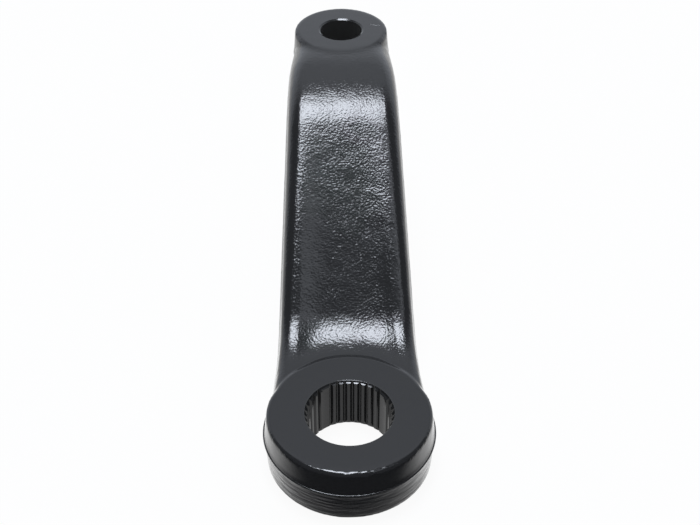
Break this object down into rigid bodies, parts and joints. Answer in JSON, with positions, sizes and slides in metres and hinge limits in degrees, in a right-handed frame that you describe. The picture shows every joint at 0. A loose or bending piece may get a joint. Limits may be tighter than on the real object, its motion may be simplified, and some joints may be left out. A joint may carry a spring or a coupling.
{
  "type": "pitman arm",
  "caption": "Forged drop pitman arm with a splined eye for a steering shaft, an S-bent ribbed arm and a tapered eye for a drag link stud.",
  "frame": {"origin": "on the shaft axis, half way down the splined bore", "axes": "+Z along the shaft axis towards the shaft nut, +Y level from the shaft eye towards the stud eye, +X across the arm"},
  "size_m": [0.0622, 0.2272, 0.0806],
  "materials": {
    "black_paint": "gloss black paint over the scaled skin of a steel forging, smoother on the machined faces"
  },
  "bodies": {
    "root": {"pitman_arm": "black_paint"}
  },
  "joints": []
}
